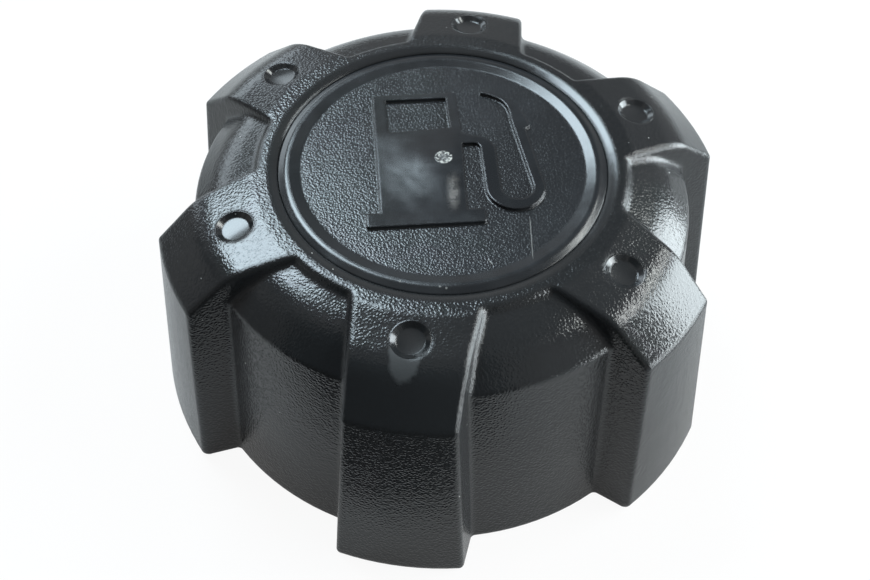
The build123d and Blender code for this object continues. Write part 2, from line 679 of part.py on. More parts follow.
if __name__ == "__main__":
    os.makedirs("parts", exist_ok=True)
    for name, make in PIECES.items():
        export_step(make(), f"parts/{name}.step")
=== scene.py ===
"""Looks of a ratcheting, vented fuel filler cap: moulded plastics, neck thread, seals and a pale studio."""
import math
from functools import cached_property

import bpy
from mathutils import Matrix, Vector


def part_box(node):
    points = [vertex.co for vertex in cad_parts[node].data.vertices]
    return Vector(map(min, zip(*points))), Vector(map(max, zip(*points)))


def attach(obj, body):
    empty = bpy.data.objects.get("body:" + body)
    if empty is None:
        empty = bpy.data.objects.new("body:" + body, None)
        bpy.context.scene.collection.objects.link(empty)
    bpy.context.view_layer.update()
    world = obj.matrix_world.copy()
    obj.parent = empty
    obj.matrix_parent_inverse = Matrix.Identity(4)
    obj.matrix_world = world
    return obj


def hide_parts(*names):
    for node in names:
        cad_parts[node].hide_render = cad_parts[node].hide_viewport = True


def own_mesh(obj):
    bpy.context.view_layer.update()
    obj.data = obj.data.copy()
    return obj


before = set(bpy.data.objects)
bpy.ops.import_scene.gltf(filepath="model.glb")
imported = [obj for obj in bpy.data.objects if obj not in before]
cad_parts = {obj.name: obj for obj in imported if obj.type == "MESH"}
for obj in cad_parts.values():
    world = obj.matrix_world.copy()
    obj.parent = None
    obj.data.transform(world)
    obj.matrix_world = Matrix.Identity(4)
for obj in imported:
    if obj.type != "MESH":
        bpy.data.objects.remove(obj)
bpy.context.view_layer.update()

bl_info = {
    "name": "Fuel filler cap",
    "version": (1, 0, 0),
    "blender": (4, 5, 0),
    "location": "View3D > Sidebar > Filler cap",
    "description": "Dresses the parts of a fuel filler cap, adds its thread and sets up its studio",
    "category": "Object",
}

MM = 0.001
PLASTIC_IOR = 1.49

# shell and badge: LOBE_TURN in degrees, DISH_CURVE in 1 per metre, the rest in metres
LOBE_TURN = 60.0
LAND_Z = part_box("grip_shell")[1][2]
DIMPLE_CIRCLE_R = 31.7 * MM
DIMPLE_MOUTH_R = 2.85 * MM
DISH_CURVE = 22.0
GROOVE_R = 25.8 * MM
FIELD_R = 20.9 * MM
FIGURE_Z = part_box("badge_disc")[1][2]
FIELD_Z = FIGURE_Z - 0.5 * MM

# marks on the plastic
RUB_MIDDLE = (-0.35 * MM, -33.7 * MM)
RUB_HALF = (2.4 * MM, 3.9 * MM)
RUB_START_Y = -32.6 * MM
GATE_MIDDLE = (-0.05 * MM, 1.15 * MM)
GATE_R = 1.35 * MM
SWELL_MIDDLE_Y = 1.1 * MM
SWELL_REACH = 6.8 * MM
SWELL_HEIGHT = 0.52 * MM
STREAK_X = 1.55 * MM
STREAK_Y = -5.3 * MM
STREAK_HALF = (1.3 * MM, 4.6 * MM)
# start, end and half width in mm
SCRATCHES = (((13.5, -7.8), (14.8, -16.4), 0.12), ((8.5, -16.7), (9.4, -17.7), 0.15))
# x, y and reach in mm
NICKS = ((-2.8, -22.7, 0.22), (2.7, -22.8, 0.2), (3.6, -22.9, 0.2), (-0.4, 15.3, 0.2))
# their colours
RUBBED = (0.05, 0.053, 0.055, 1)
DUST = (0.5, 0.5, 0.48, 1)
# painted sheen: pale colour of the light that the flow mark on the cabinet mirrors
STREAK_SHEEN = (0.2, 0.175, 0.155, 1)
TORN = (0.5, 0.5, 0.47, 1)
SCRATCHED = (0.4, 0.4, 0.38, 1)

# neck thread
NECK_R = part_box("neck_gasket")[1][0]
THREAD_TURNS = 3.1
THREAD_START = 4.6 * MM
THREAD_SINK = 0.3 * MM
THREAD_ROOT_WIDTH = 2.6 * MM
THREAD_CREST_SHARE = 0.4
THREAD_STEPS_A_TURN = 72
THREAD_WELD = 0.005 * MM

# coil springs
SPRING_WIRE_SIDES = 14
SPRING_STEPS_A_TURN = 40

# studio: angles in degrees; IN_GLOSS is the share of the white that gloss mirrors
AIR_LEVEL = 0.25
AIR_IN_GLOSS = 0.1
FLOOR_SIZE = 6.0
FLOOR_Z = -0.02 * MM
FLOOR_COLOUR = (0.42, 0.43, 0.43, 1)
FLOOR_IN_GLOSS = 0.4
FLOOR_GLOW_SHARE = 0.88
FLOOR_GLOW = 1.06
CARD_AZIMUTH = -98
CARD_AWAY = 56 * MM
CARD_MIDDLE_Z = 80 * MM
CARD_SIZE = (80 * MM, 158 * MM)
# name, azimuth, elevation, distance, width and height, share of the window level, colour
PANELS = (
    ("window", 133, 53.5, 1.0, (0.54, 0.37), 1.0, (0.74, 0.9, 1.0)),
    ("low_window", 134, 18, 1.0, (0.7, 0.3), 0.2, (0.8, 0.92, 1.0)),
    ("side_panel", 22, 14, 0.8, (0.46, 0.54), 0.74, (0.86, 0.96, 1.0)),
    ("edge_panel", -10, 4, 0.8, (0.5, 0.26), 0.9, (0.9, 0.97, 1.0)),
    ("lamp", 20, 45, 0.8, (0.6, 0.08), 1.0, (0.95, 1.0, 0.98)),
)
CAMERA_AT = Vector((16.36, -135.84, 184.02)) * MM
CAMERA_AIM = Vector((0.07, -7.26, 20.0)) * MM
CAMERA_ROLL = math.radians(0.93)
CAMERA_LENS = 55.94
SENSOR_WIDTH = 36.0


# ---------------------------------------------------------------- settings
class CapSettings(bpy.types.PropertyGroup):
    """Sizes and colours that a user would change"""

    shell_colour: bpy.props.FloatVectorProperty(
        name="Shell colour", description="Plastic of the grip shell", subtype="COLOR",
        size=3, min=0, max=1, default=(0.0105, 0.0115, 0.0125))
    badge_colour: bpy.props.FloatVectorProperty(
        name="Badge colour", description="Plastic of the badge disc", subtype="COLOR",
        size=3, min=0, max=1, default=(0.0095, 0.0108, 0.0125))
    grain_pitch: bpy.props.FloatProperty(
        name="Grain pitch", description="Width of one pebble of the leather grain",
        default=0.4 * MM, unit="LENGTH")
    grain_height: bpy.props.FloatProperty(
        name="Grain height", description="How far the pebbles stand above their valleys",
        default=0.018 * MM, unit="LENGTH")
    edge_softness: bpy.props.FloatProperty(
        name="Edge softness", description="Radius of the softened edges; most take a multiple of it",
        default=0.35 * MM, unit="LENGTH")
    thread_pitch: bpy.props.FloatProperty(
        name="Thread pitch", description="Rise of the neck thread in one turn",
        default=5.0 * MM, unit="LENGTH")
    thread_height: bpy.props.FloatProperty(
        name="Thread height", description="How far the thread stands out of the closure's wall",
        default=1.3 * MM, unit="LENGTH")
    window_level: bpy.props.FloatProperty(
        name="Window level", description="Brightness of the soft window behind", default=18.0, min=0)


# ---------------------------------------------------------------- shader helpers
class Shader:
    """One material's nodes, with short calls to add and join them"""

    def __init__(self, name, library=bpy.data.materials):
        self.material = library.new(name)
        self.material.use_nodes = True
        self.nodes = self.material.node_tree.nodes
        self.links = self.material.node_tree.links
        self.surface = self.nodes.get("Principled BSDF") or self.nodes["Background"]

    @cached_property
    def coordinates(self):
        return self.add("ShaderNodeTexCoord").outputs

    @cached_property
    def place(self):
        return self.coordinates["Object"]

    @cached_property
    def xyz(self):
        return self.split(self.place)

    @property
    def x(self):
        return self.xyz[0]

    @property
    def y(self):
        return self.xyz[1]

    @property
    def z(self):
        return self.xyz[2]

    @cached_property
    def up(self):
        """1 on faces that look straight up, 0 on upright ones."""
        return self.split(self.coordinates["Normal"])[2]

    @cached_property
    def radius(self):
        """Distance from the cap's axis."""
        return self.length(self.x, self.y)

    def feed(self, socket, value):
        """Links another node's output into a socket, or sets the socket's own value."""
        if isinstance(value, bpy.types.NodeSocket):
            self.links.new(value, socket)
        else:
            socket.default_value = value

    def add(self, kind, values=None, **settings):
        """A new node; values feed its inputs by name or number, settings are its own."""
        node = self.nodes.new(kind)
        for key, value in settings.items():
            setattr(node, key, value)
        for socket, value in (values or {}).items():
            self.feed(node.inputs[socket], value)
        return node

    def split(self, vector):
        return self.add("ShaderNodeSeparateXYZ", {0: vector}).outputs

    def math(self, operation, *values):
        return self.add("ShaderNodeMath", dict(enumerate(values)), operation=operation).outputs[0]

    def length(self, a, b):
        """Distance that a and b, at right angles, make together."""
        return self.math("SQRT", self.math("MULTIPLY_ADD", a, a, self.math("MULTIPLY", b, b)))

    def step(self, value, off, on, low=0.0, high=1.0):
        """Smooth change from low, where value is off, to high, where it is on."""
        values = {"Value": value, "From Min": off, "From Max": on, "To Min": low, "To Max": high}
        return self.add("ShaderNodeMapRange", values, interpolation_type="SMOOTHSTEP").outputs[0]

    def noise(self, scale, detail=2.0, roughness=0.5, place=None):
        """Soft random pattern from 0 to 1, with scale cells a metre."""
        values = {"Vector": place or self.place, "Scale": scale, "Detail": detail, "Roughness": roughness}
        return self.add("ShaderNodeTexNoise", values).outputs["Fac"]

    # a mix node has its numbers in sockets 2 and 3, its colours in 6 and 7
    def mix(self, factor, low, high):
        """The number low where the factor is 0, high where it is 1."""
        node = self.add("ShaderNodeMix", {0: factor, 2: low, 3: high}, data_type="FLOAT")
        return node.outputs[0]

    def tint(self, factor, low, high):
        """The colour low where the factor is 0, high where it is 1."""
        node = self.add("ShaderNodeMix", {0: factor, 6: low, 7: high}, data_type="RGBA")
        return node.outputs[2]

    def bump(self, height, strength, distance, normal=None):
        """The normal of a surface whose relief is height times distance."""
        values = {"Height": height, "Strength": strength, "Distance": distance}
        if normal is not None:
            values["Normal"] = normal
        return self.add("ShaderNodeBump", values).outputs[0]

    def finish(self, colour, roughness, normal=None, metal=0.0):
        """Sets the surface and gives back the material."""
        self.feed(self.surface.inputs["Base Color"], colour)
        self.feed(self.surface.inputs["Roughness"], roughness)
        self.surface.inputs["Metallic"].default_value = metal
        self.surface.inputs["IOR"].default_value = PLASTIC_IOR
        if normal is not None:
            self.feed(self.surface.inputs["Normal"], normal)
        return self.material

    # marks, each 0 to 1
    def spot(self, x, y, reach):
        """A soft round spot seen from above."""
        away = self.length(self.math("SUBTRACT", self.x, x), self.math("SUBTRACT", self.y, y))
        return self.step(away, reach, reach * 0.4)

    def line(self, start, end, width):
        """A thin line seen from above, fading at its ends."""
        run = Vector(end) - Vector(start)
        long = run.length
        run.normalize()
        dx = self.math("SUBTRACT", self.x, start[0])
        dy = self.math("SUBTRACT", self.y, start[1])
        along = self.math("MULTIPLY_ADD", dx, run.x, self.math("MULTIPLY", dy, run.y))
        across = self.math("MULTIPLY_ADD", dx, -run.y, self.math("MULTIPLY", dy, run.x))
        near = self.step(self.math("ABSOLUTE", across), width, 0.0)
        ends = self.math("ABSOLUTE", self.math("SUBTRACT", along, long / 2))
        return self.math("MULTIPLY", near, self.step(ends, long / 2, long * 0.3))

    def strongest(self, marks):
        total = marks[0]
        for mark in marks[1:]:
            total = self.math("MAXIMUM", total, mark)
        return total


def rgba(colour, factor=1.0):
    """A colour made lighter or darker by the factor, with its alpha."""
    return (colour[0] * factor, colour[1] * factor, colour[2] * factor, 1.0)


def leather_grain(shader, pitch):
    """Height of a pebbled leather grain: flat-topped pebbles with narrow valleys."""
    drift = shader.add("ShaderNodeTexNoise", {"Vector": shader.place, "Scale": 0.6 / pitch, "Detail": 2.0})
    push = shader.add(
        "ShaderNodeVectorMath", {0: drift.outputs["Color"], 1: (0.5, 0.5, 0.5)}, operation="SUBTRACT")
    pushed = shader.add(
        "ShaderNodeVectorMath", {0: push.outputs[0], 1: (pitch * 0.9,) * 3, 2: shader.place},
        operation="MULTIPLY_ADD")
    pebbles = shader.add("ShaderNodeTexVoronoi", {
        "Vector": pushed.outputs[0], "Scale": 1.0 / pitch, "Smoothness": 0.3}, feature="SMOOTH_F1")
    domed = shader.step(pebbles.outputs["Distance"], 0.75, 0.1)
    fine = shader.noise(1.7 / pitch, 3.0, 0.6)
    return shader.math("MULTIPLY_ADD", fine, 0.35, domed)


def dust_specks(shader):
    """Sparse pale specks."""
    cells = shader.add("ShaderNodeTexVoronoi", {"Vector": shader.place, "Scale": 330.0})
    chance = shader.split(cells.outputs["Color"])[0]
    near = shader.step(cells.outputs["Distance"], 0.05, 0.02)
    return shader.math("MULTIPLY", near, shader.step(chance, 0.72, 0.73))


# ---------------------------------------------------------------- finishes
def shell_plastic(settings):
    """Leather grain, deeper on upright faces; polished in the dimples and in the groove round the badge."""
    shader = Shader("shell_plastic")
    up = shader.step(shader.up, 0.2, 0.6)
    away = dimple_reach(shader)
    high = shader.step(shader.z, LAND_Z - 3 * MM, LAND_Z - 2.5 * MM)
    dimple = shader.math("MULTIPLY", shader.step(away, DIMPLE_MOUTH_R, DIMPLE_MOUTH_R - 0.15 * MM), high)
    dish = shader.math("MULTIPLY", dimple, DISH_CURVE)
    dish = shader.math("MULTIPLY", shader.math("MULTIPLY", away, away), dish)
    smooth = shader.math("MAXIMUM", dimple, shader.step(shader.radius, GROOVE_R, GROOVE_R - 0.3 * MM))
    grained = shader.math("SUBTRACT", 1.0, smooth)
    smear = rubbed_patch(shader, dimple)
    specks = dust_specks(shader)
    # grain, worn low where the plastic is rubbed
    height = shader.math("MULTIPLY", shader.mix(up, 1.9, 1.0), grained)
    height = shader.math("MULTIPLY", height, shader.math("MULTIPLY_ADD", smear, -0.75, 1.0))
    height = shader.math("MULTIPLY", height, leather_grain(shader, settings.grain_pitch))
    # gloss and colour
    cloud = shader.noise(70.0, 3.0, 0.55)
    rough = shader.mix(grained, 0.16, shader.math("MULTIPLY_ADD", cloud, 0.08, 0.13))
    rough = shader.math("MULTIPLY_ADD", smear, 0.1, rough)
    colour = shader.tint(cloud, rgba(settings.shell_colour, 0.8), rgba(settings.shell_colour, 1.2))
    colour = shader.tint(shader.math("MULTIPLY", smear, 0.8), colour, RUBBED)
    colour = shader.tint(shader.math("MULTIPLY", specks, 0.7), colour, DUST)
    # softened edges, dished dimples, then slight waves and the grain
    softness = shader.mix(dimple, 2.4 * settings.edge_softness, settings.edge_softness)
    soft = shader.add("ShaderNodeBevel", {"Radius": softness}, samples=4).outputs[0]
    soft = shader.bump(dish, 1.0, 1.0, soft)
    waves = shader.bump(shader.noise(160.0, 2.0), 0.2, 0.3 * MM, soft)
    return shader.finish(colour, rough, shader.bump(height, 1.0, settings.grain_height, waves))


def dimple_reach(shader):
    """Distance from the middle of the nearest dimple, seen from above."""
    turn = shader.math("ARCTAN2", shader.y, shader.x)
    folded = shader.math("FLOORED_MODULO", turn, math.radians(LOBE_TURN))
    folded = shader.math("SUBTRACT", folded, math.radians(LOBE_TURN / 2))
    out = shader.math("MULTIPLY", shader.radius, shader.math("COSINE", folded))
    side = shader.math("MULTIPLY", shader.radius, shader.math("SINE", folded))
    return shader.length(shader.math("SUBTRACT", out, DIMPLE_CIRCLE_R), side)


def rubbed_patch(shader, dimple):
    """Pale rub mark on the front lobe, from the edge of its dimple outwards."""
    across = shader.math("DIVIDE", shader.math("SUBTRACT", shader.x, RUB_MIDDLE[0]), RUB_HALF[0])
    along = shader.math("DIVIDE", shader.math("SUBTRACT", shader.y, RUB_MIDDLE[1]), RUB_HALF[1])
    ragged = shader.math("MULTIPLY_ADD", shader.noise(900.0, 3.0), 0.35, shader.length(across, along))
    outer = shader.step(shader.y, RUB_START_Y, RUB_START_Y - 0.6 * MM)
    beyond = shader.math("MULTIPLY", outer, shader.math("SUBTRACT", 1.0, dimple))
    return shader.math("MULTIPLY", shader.step(ragged, 1.2, 0.95), beyond)


def badge_plastic(settings):
    """Grained field round a smooth figure, and a smooth rim."""
    shader = Shader("badge_plastic")
    pitch = 0.85 * settings.grain_pitch
    grain_height = 0.95 * settings.grain_height
    low = shader.step(shader.z, FIELD_Z + 0.12 * MM, FIELD_Z + 0.05 * MM)
    inner = shader.step(shader.radius, FIELD_R + 0.05 * MM, FIELD_R - 0.2 * MM)
    field = shader.math("MULTIPLY", low, inner)
    figure = shader.step(shader.z, FIGURE_Z - 0.1 * MM, FIGURE_Z - 0.03 * MM)
    gate = gate_mark(shader)
    streak = shader.math("MULTIPLY", streak_and_painted_sheen(shader), figure)
    scratches = [
        shader.line((x0 * MM, y0 * MM), (x1 * MM, y1 * MM), width * MM)
        for (x0, y0), (x1, y1), width in SCRATCHES]
    nicks = [shader.spot(x * MM, y * MM, reach * MM) for x, y, reach in NICKS]
    marks = shader.strongest(scratches + nicks)
    # colour
    haze = shader.step(shader.noise(110.0, 3.0, 0.6), 0.38, 0.7)
    pale = rgba(settings.badge_colour, 1.8)
    colour = shader.tint(shader.math("MULTIPLY", haze, 0.5), rgba(settings.badge_colour), pale)
    # painted sheen: the streak's pale colour stands in for light mirrored off a flow mark
    colour = shader.tint(shader.math("MULTIPLY", streak, 0.45), colour, STREAK_SHEEN)
    colour = shader.tint(shader.math("MULTIPLY", gate, 0.9), colour, TORN)
    colour = shader.tint(shader.math("MULTIPLY", marks, 0.35), colour, SCRATCHED)
    # gloss
    rim = shader.step(shader.radius, FIELD_R - 0.2 * MM, FIELD_R)
    rough = shader.mix(field, shader.math("MULTIPLY_ADD", haze, 0.08, 0.14), 0.2)
    rough = shader.math("MULTIPLY_ADD", shader.math("MAXIMUM", gate, streak), 0.2, rough)
    rough = shader.math("MULTIPLY_ADD", rim, 0.04, rough)
    # softened edges, the swelling, slight waves, the gate mark and the grain
    softness = shader.mix(rim, 1.3 * settings.edge_softness, 1.1 * settings.edge_softness)
    soft = shader.add("ShaderNodeBevel", {"Radius": softness}, samples=6).outputs[0]
    normal = shader.bump(swell(shader, figure), 1.0, 1.0, soft)
    normal = shader.bump(shader.noise(170.0, 2.0), 0.22, 0.3 * MM, normal)
    normal = shader.bump(gate, 0.6, 0.15 * MM, normal)
    normal = shader.bump(leather_grain(shader, pitch), field, grain_height, normal)
    return shader.finish(colour, rough, normal)


def swell(shader, figure):
    """Height of the slight swelling of the figure round its gate mark, in metres."""
    away = shader.length(shader.x, shader.math("SUBTRACT", shader.y, SWELL_MIDDLE_Y))
    fall = shader.math("DIVIDE", away, SWELL_REACH)
    bell = shader.math("EXPONENT", shader.math("MULTIPLY", shader.math("MULTIPLY", fall, fall), -1.0))
    return shader.math("MULTIPLY", shader.math("MULTIPLY", bell, SWELL_HEIGHT), figure)


def gate_mark(shader):
    """Rough pale ring that the mould's gate left on the cabinet, fainter in its middle."""
    dx = shader.math("SUBTRACT", shader.x, GATE_MIDDLE[0])
    dy = shader.math("SUBTRACT", shader.y, GATE_MIDDLE[1])
    away = shader.length(dx, dy)
    middle = shader.step(away, 0.55 * MM, 0.9 * MM, 0.35, 1.0)
    ring = shader.math("MULTIPLY", shader.step(away, GATE_R, GATE_R - 0.2 * MM), middle)
    return shader.math("MULTIPLY", ring, shader.step(shader.noise(2600.0, 3.0, 0.7), 0.4, 0.62))


def streak_and_painted_sheen(shader):
    """Pale mottled streak down the right side of the cabinet: a flow mark that badge_plastic makes rougher,
    with its sheen painted in as pale colour.
    """
    middle = shader.math("MULTIPLY_ADD", shader.y, -0.13, STREAK_X)
    across = shader.math("ABSOLUTE", shader.math("SUBTRACT", shader.x, middle))
    along = shader.math("ABSOLUTE", shader.math("SUBTRACT", shader.y, STREAK_Y))
    mottle = shader.step(shader.noise(600.0, 4.0, 0.7), 0.35, 0.65, 0.15, 1.0)
    inside = shader.step(across, STREAK_HALF[0], 0.0)
    band = shader.math("MULTIPLY", inside, shader.step(along, STREAK_HALF[1], 0.4 * MM))
    return shader.math("MULTIPLY", band, mottle)


def inner_plastic():
    """Black moulded plastic of the closure, satin, with faint drag lines along the axis."""
    shader = Shader("inner_plastic")
    stretch = shader.add("ShaderNodeMapping", {"Vector": shader.place, "Scale": (900.0, 900.0, 30.0)})
    drag = shader.noise(1.0, 2.0, 0.5, stretch.outputs[0])
    cloud = shader.noise(120.0, 3.0)
    colour = shader.tint(cloud, (0.018, 0.018, 0.019, 1), (0.03, 0.03, 0.031, 1))
    rough = shader.math("MULTIPLY_ADD", cloud, 0.2, 0.34)
    return shader.finish(colour, rough, shader.bump(drag, 0.18, 0.08 * MM))


def natural_acetal():
    """Ivory engineering plastic of the pawls and valves."""
    shader = Shader("natural_acetal")
    cloud = shader.noise(220.0, 3.0)
    shader.surface.inputs["Subsurface Weight"].default_value = 0.25
    shader.surface.inputs["Subsurface Radius"].default_value = (1.0 * MM, 0.8 * MM, 0.6 * MM)
    shader.surface.inputs["Subsurface Scale"].default_value = 1.0
    colour = shader.tint(cloud, (0.66, 0.63, 0.55, 1), (0.78, 0.76, 0.69, 1))
    rough = shader.math("MULTIPLY_ADD", cloud, 0.15, 0.28)
    return shader.finish(colour, rough, shader.bump(shader.noise(2500.0, 2.0), 0.08, 0.05 * MM))


def sintered_filter():
    """Porous bonded beads."""
    shader = Shader("sintered_filter")
    beads = shader.add("ShaderNodeTexVoronoi", {"Vector": shader.place, "Scale": 2600.0})
    reach = beads.outputs["Distance"]
    # painted shade: darker away from each bead's middle, in the pores between the beads
    colour = shader.tint(reach, (0.66, 0.62, 0.54, 1), (0.3, 0.28, 0.24, 1))
    return shader.finish(colour, 0.85, shader.bump(reach, 0.9, 0.2 * MM))


def seal_rubber():
    """Black nitrile with a talc bloom."""
    shader = Shader("seal_rubber")
    bloom = shader.step(shader.noise(500.0, 4.0, 0.6), 0.45, 0.75)
    colour = shader.tint(bloom, (0.014, 0.014, 0.014, 1), (0.045, 0.044, 0.042, 1))
    rough = shader.mix(bloom, 0.55, 0.75)
    return shader.finish(colour, rough, shader.bump(shader.noise(3500.0, 2.0), 0.2, 0.05 * MM))


def drawn_steel(name, colour, roughness):
    """Spring, ball or screw steel with faint draw marks."""
    shader = Shader(name)
    marks = shader.noise(1800.0, 3.0, 0.6)
    tone = shader.tint(marks, rgba(colour, 0.8), rgba(colour))
    rough = shader.math("MULTIPLY_ADD", marks, 0.2, roughness)
    return shader.finish(tone, rough, shader.bump(marks, 0.1, 0.03 * MM), metal=1.0)


# ---------------------------------------------------------------- mesh helpers
def deselect_all():
    """Leaves edit mode and selects nothing."""
    if bpy.context.object and bpy.context.object.mode != "OBJECT":
        bpy.ops.object.mode_set(mode="OBJECT")
    bpy.ops.object.select_all(action="DESELECT")


def paint(material, *nodes):
    """Gives CAD nodes their finish."""
    for node in nodes:
        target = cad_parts[node]
        if not target.material_slots:
            raise ValueError(f"{node} has no material slot")
        for slot in target.material_slots:
            slot.material = material


# ---------------------------------------------------------------- operators
class CAP_OT_grip_shell(bpy.types.Operator):
    """Finish the grip shell with grained plastic and polished dimples"""

    bl_idname = "cap.grip_shell"
    bl_label = "Grip shell"

    def execute(self, context):
        paint(shell_plastic(context.scene.cap_settings), "grip_shell")
        return {"FINISHED"}


class CAP_OT_badge(bpy.types.Operator):
    """Finish the badge disc with its grained field, polished figure and gate mark"""

    bl_idname = "cap.badge"
    bl_label = "Badge disc"

    def execute(self, context):
        paint(badge_plastic(context.scene.cap_settings), "badge_disc")
        return {"FINISHED"}


class CAP_OT_closure(bpy.types.Operator):
    """Finish the closure, valve housing, baffle and the seals"""

    bl_idname = "cap.closure"
    bl_label = "Closure and seals"

    def execute(self, context):
        paint(inner_plastic(), "closure_body", "valve_housing", "splash_baffle")
        paint(seal_rubber(), "neck_gasket", "housing_seal", "pressure_seal", "vacuum_seal")
        return {"FINISHED"}


class CAP_OT_neck_thread(bpy.types.Operator):
    """Model the thread inside the closure's wall"""

    bl_idname = "cap.neck_thread"
    bl_label = "Neck thread"

    def execute(self, context):
        settings = context.scene.cap_settings
        start_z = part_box("closure_body")[0][2] + THREAD_START
        middle_r = NECK_R + THREAD_SINK / 2 - settings.thread_height / 2
        deselect_all()
        bpy.ops.mesh.primitive_plane_add(
            size=1.0, location=(middle_r, 0, start_z), rotation=(math.pi / 2, 0, 0))
        thread = context.object
        thread.name = "neck_thread"
        thread.scale = (settings.thread_height + THREAD_SINK, THREAD_ROOT_WIDTH, 1)
        bpy.ops.object.transform_apply(location=True, rotation=True, scale=True)
        narrow_crest(thread, middle_r, start_z)
        screw = thread.modifiers.new("screw", "SCREW")
        screw.angle = 2 * math.pi * THREAD_TURNS
        screw.screw_offset = settings.thread_pitch * THREAD_TURNS
        screw.steps = screw.render_steps = round(THREAD_STEPS_A_TURN * THREAD_TURNS)
        bpy.ops.object.modifier_apply(modifier=screw.name)
        close_ends(thread)
        bpy.ops.object.shade_smooth_by_angle(angle=math.radians(25))
        thread.data.materials.append(bpy.data.materials["inner_plastic"])
        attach(thread, "closure")
        return {"FINISHED"}


def narrow_crest(thread, middle_r, start_z):
    """Narrows the profile's side nearer the axis, so that the ridge has sloped flanks."""
    bpy.ops.object.mode_set(mode="EDIT")
    bpy.ops.mesh.select_all(action="DESELECT")
    bpy.ops.object.mode_set(mode="OBJECT")
    for vertex in thread.data.vertices:
        vertex.select = vertex.co.x < middle_r
    bpy.ops.object.mode_set(mode="EDIT")
    bpy.ops.mesh.select_mode(type="VERT")
    bpy.ops.transform.resize(value=(1, 1, THREAD_CREST_SHARE), center_override=(middle_r, 0, start_z))
    bpy.ops.mesh.select_all(action="SELECT")
    bpy.ops.mesh.delete(type="ONLY_FACE")
    bpy.ops.object.mode_set(mode="OBJECT")


def close_ends(thread):
    """Fills the two open ends of the ridge and turns its faces outwards."""
    bpy.ops.object.mode_set(mode="EDIT")
    bpy.ops.mesh.select_all(action="SELECT")
    bpy.ops.mesh.remove_doubles(threshold=THREAD_WELD)
    bpy.ops.mesh.select_all(action="DESELECT")
    bpy.ops.mesh.select_non_manifold()
    bpy.ops.mesh.edge_face_add()
    bpy.ops.mesh.select_all(action="SELECT")
    bpy.ops.mesh.normals_make_consistent(inside=False)
    bpy.ops.object.mode_set(mode="OBJECT")


class CAP_OT_valve(bpy.types.Operator):
    """Finish the ratchet, valves, ball, springs and screws"""

    bl_idname = "cap.valve"
    bl_label = "Ratchet and valve pieces"

    def execute(self, context):
        acetal = natural_acetal()
        spring_steel = drawn_steel("spring_steel", (0.5, 0.5, 0.51), 0.25)
        ball_steel = drawn_steel("ball_steel", (0.68, 0.68, 0.69), 0.08)
        zinc_steel = drawn_steel("zinc_steel", (0.62, 0.6, 0.55), 0.3)
        paint(acetal, "ratchet_ring", "pressure_plate", "spring_seat", "vacuum_poppet", "ball_cage")
        paint(sintered_filter(), "vent_filter")
        paint(spring_steel, "spring_washer", "retaining_ring", "vacuum_clip")
        paint(ball_steel, "rollover_ball")
        paint(zinc_steel, "baffle_screws")
        return {"FINISHED"}


class CAP_OT_springs(bpy.types.Operator):
    """Model the two coil springs"""

    bl_idname = "cap.springs"
    bl_label = "Coil springs"

    def execute(self, context):
        coil_spring(
            "pressure_spring", "closure", wire_r=0.4 * MM, turns=3.5)
        coil_spring(
            "vacuum_spring", "pressure_valve", wire_r=0.22 * MM, turns=4.5)
        return {"FINISHED"}


def coil_spring(node, body, wire_r, turns):
    """A coil with flat ground ends in a node's place, parented to the body's empty."""
    low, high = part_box(node)
    long = high[2] - low[2]
    deselect_all()
    bpy.ops.mesh.primitive_circle_add(
        vertices=SPRING_WIRE_SIDES, radius=wire_r, location=(high[0] - wire_r, 0, low[2]),
        rotation=(math.pi / 2, 0, 0))
    coil = bpy.context.object
    coil.name = f"{node}_coil"
    bpy.ops.object.transform_apply(location=True, rotation=True, scale=True)
    screw = coil.modifiers.new("screw", "SCREW")
    screw.angle = 2 * math.pi * turns
    screw.screw_offset = long
    screw.steps = screw.render_steps = round(SPRING_STEPS_A_TURN * turns)
    bpy.ops.object.modifier_apply(modifier=screw.name)
    bpy.ops.object.mode_set(mode="EDIT")
    for height, side in ((low[2], -1), (high[2], 1)):
        bpy.ops.mesh.select_all(action="SELECT")
        bpy.ops.mesh.bisect(plane_co=(0, 0, height), plane_no=(0, 0, side), use_fill=True, clear_outer=True)
    bpy.ops.mesh.select_all(action="SELECT")
    bpy.ops.mesh.normals_make_consistent(inside=False)
    bpy.ops.object.mode_set(mode="OBJECT")
    bpy.ops.object.shade_smooth_by_angle(angle=math.radians(40))
    coil.data.materials.append(bpy.data.materials["spring_steel"])
    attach(coil, body)
    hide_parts(node)
    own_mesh(coil)


class CAP_OT_studio(bpy.types.Operator):
    """Set up the floor, the soft panels and the camera"""

    bl_idname = "cap.studio"
    bl_label = "Studio"

    def execute(self, context):
        pale_floor()
        open_air(context.scene)
        level = context.scene.cap_settings.window_level
        for name, azimuth, elevation, distance, size, share, colour in PANELS:
            panel(name, azimuth, elevation, distance, size, share * level, colour)
        dark_card()
        camera(context.scene)
        context.scene.view_settings.view_transform = "Standard"
        return {"FINISHED"}


def seen_white(shader, share):
    """1 where the camera or clear matter sees the white ground, a share of it where gloss mirrors it."""
    path = shader.add("ShaderNodeLightPath").outputs
    mirrored = shader.math("MULTIPLY", path["Is Glossy Ray"], share)
    clear = shader.math("MAXIMUM", path["Is Camera Ray"], path["Is Transmission Ray"])
    return shader.math("MAXIMUM", clear, mirrored)


